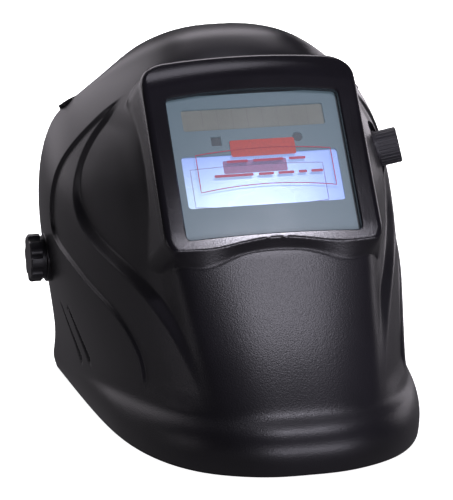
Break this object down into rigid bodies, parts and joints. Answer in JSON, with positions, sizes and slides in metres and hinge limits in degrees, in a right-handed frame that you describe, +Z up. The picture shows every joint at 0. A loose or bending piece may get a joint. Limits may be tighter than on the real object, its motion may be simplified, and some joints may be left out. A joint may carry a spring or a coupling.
{
  "type": "auto-darkening welding helmet",
  "caption": "Black flip-up welding helmet with a raised window hood, auto-darkening filter, shade knob on one side, tension knobs and a ratchet headband inside.",
  "frame": {"origin": "middle of the footprint on the surface the helmet stands on, chin rim and rear lower corners down", "axes": "+Z up; the window looks along -Y; +X is the wearer's left, the side with the shade knob"},
  "size_m": [0.2332, 0.3671, 0.2188],
  "materials": {
    "shell": "fine moulded texture",
    "cover_lens": "clear polycarbonate",
    "film": "thin clear film with blank outlines",
    "filter_case": "satin",
    "filter_glass": "coated",
    "shutter": "polished",
    "solar": "coated cell",
    "sensor": "domed",
    "board": "solder mask",
    "battery": "satin",
    "component": "moulded",
    "dial": "moulded",
    "inner_lens": "clear polycarbonate",
    "holder": "moulded",
    "screw": "zinc plated",
    "knob": "moulded",
    "brass": "turned",
    "band": "flexible moulding",
    "pad": "woven over foam",
    "washer": "acetal"
  },
  "bodies": {
    "helmet": {"shell": "shell", "front_cover_lens": "cover_lens", "protective_film": "film", "filter_case_front": "filter_case", "filter_case_rear": "filter_case", "filter_glass": "filter_glass", "lcd_shutter": "shutter", "solar_panel": "solar", "arc_sensor_square": "sensor", "arc_sensor_round": "sensor", "circuit_board": "board", "battery_right": "battery", "battery_left": "battery", "sensitivity_potentiometer": "component", "delay_potentiometer": "component", "inner_cover_lens": "inner_lens", "holder_frame": "holder", "latch_screw_right": "screw", "latch_screw_left": "screw", "shade_backplate": "knob", "shade_nut": "brass", "shade_potentiometer": "component"},
    "headgear": {"headband": "band", "crown_strap_right": "band", "crown_strap_left": "band", "crown_pin_right": "band", "crown_pin_left": "band", "strap_rivet_right": "band", "strap_rivet_left": "band", "sweatband": "pad", "rear_pad": "pad", "nape_housing_inner": "band", "nape_housing_outer": "band", "housing_screw_right": "screw", "housing_screw_left": "screw", "pivot_bolt_right": "band", "pivot_bolt_left": "band", "friction_washer_right": "washer", "friction_washer_left": "washer", "stop_plate_right": "band", "stop_plate_left": "band"},
    "sensitivity_dial": {"sensitivity_dial": "dial"},
    "delay_dial": {"delay_dial": "dial"},
    "holder_latch_right": {"holder_latch_right": "holder"},
    "holder_latch_left": {"holder_latch_left": "holder"},
    "shade_knob": {"shade_knob": "knob", "shade_shaft": "brass"},
    "tension_knob_right": {"tension_knob_right": "knob"},
    "tension_knob_left": {"tension_knob_left": "knob"},
    "nape_drive": {"nape_knob": "knob", "nape_pinion": "band"},
    "rack_right": {"rack_right": "band"},
    "rack_left": {"rack_left": "band"}
  },
  "joints": [
    {"name": "headgear_swing", "type": "hinge", "parent": "helmet", "child": "headgear", "pos_m": [0, 0.0676, 0.072], "axis": [1, 0, 0], "range_deg": [0, 60]},
    {"name": "tension_knob_right_turn", "type": "hinge", "parent": "headgear", "child": "tension_knob_right", "pos_m": [-0.11, 0.0676, 0.072], "axis": [-1, 0, 0], "range_deg": [0, 360]},
    {"name": "tension_knob_left_turn", "type": "hinge", "parent": "headgear", "child": "tension_knob_left", "pos_m": [0.11, 0.0676, 0.072], "axis": [1, 0, 0], "range_deg": [0, 360]},
    {"name": "shade_knob_turn", "type": "hinge", "parent": "helmet", "child": "shade_knob", "pos_m": [0.0835, -0.0044, 0.142], "axis": [0.9499, -0.22, 0.222], "range_deg": [-150, 120]},
    {"name": "sensitivity_dial_turn", "type": "hinge", "parent": "helmet", "child": "sensitivity_dial", "pos_m": [-0.016, -0.04654, 0.16719], "axis": [0, -0.7891, 0.6143], "range_deg": [-135, 135]},
    {"name": "delay_dial_turn", "type": "hinge", "parent": "helmet", "child": "delay_dial", "pos_m": [0.016, -0.04654, 0.16719], "axis": [0, -0.7891, 0.6143], "range_deg": [-135, 135]},
    {"name": "latch_right_turn", "type": "hinge", "parent": "helmet", "child": "holder_latch_right", "pos_m": [-0.034, -0.02844, 0.18605], "axis": [0, -0.7891, 0.6143], "range_deg": [0, 90]},
    {"name": "latch_left_turn", "type": "hinge", "parent": "helmet", "child": "holder_latch_left", "pos_m": [0.034, -0.02844, 0.18605], "axis": [0, 0.7891, -0.6143], "range_deg": [0, 90]},
    {"name": "nape_knob_turn", "type": "hinge", "parent": "headgear", "child": "nape_drive", "pos_m": [0, 0.16096, 0.03616], "axis": [0, 0.9336, -0.3584], "range_deg": [0, 154]},
    {"name": "rack_left_slide", "type": "slide", "parent": "headgear", "child": "rack_left", "axis": [-1, 0, 0], "range_m": [0, 0.012]},
    {"name": "rack_right_slide", "type": "slide", "parent": "headgear", "child": "rack_right", "axis": [1, 0, 0], "range_m": [0, 0.012]}
  ],
  "couplings": [
    {"joint": "rack_left_slide", "follows": "nape_knob_turn", "m_per_rad": 0.004456},
    {"joint": "rack_right_slide", "follows": "nape_knob_turn", "m_per_rad": 0.004456}
  ]
}
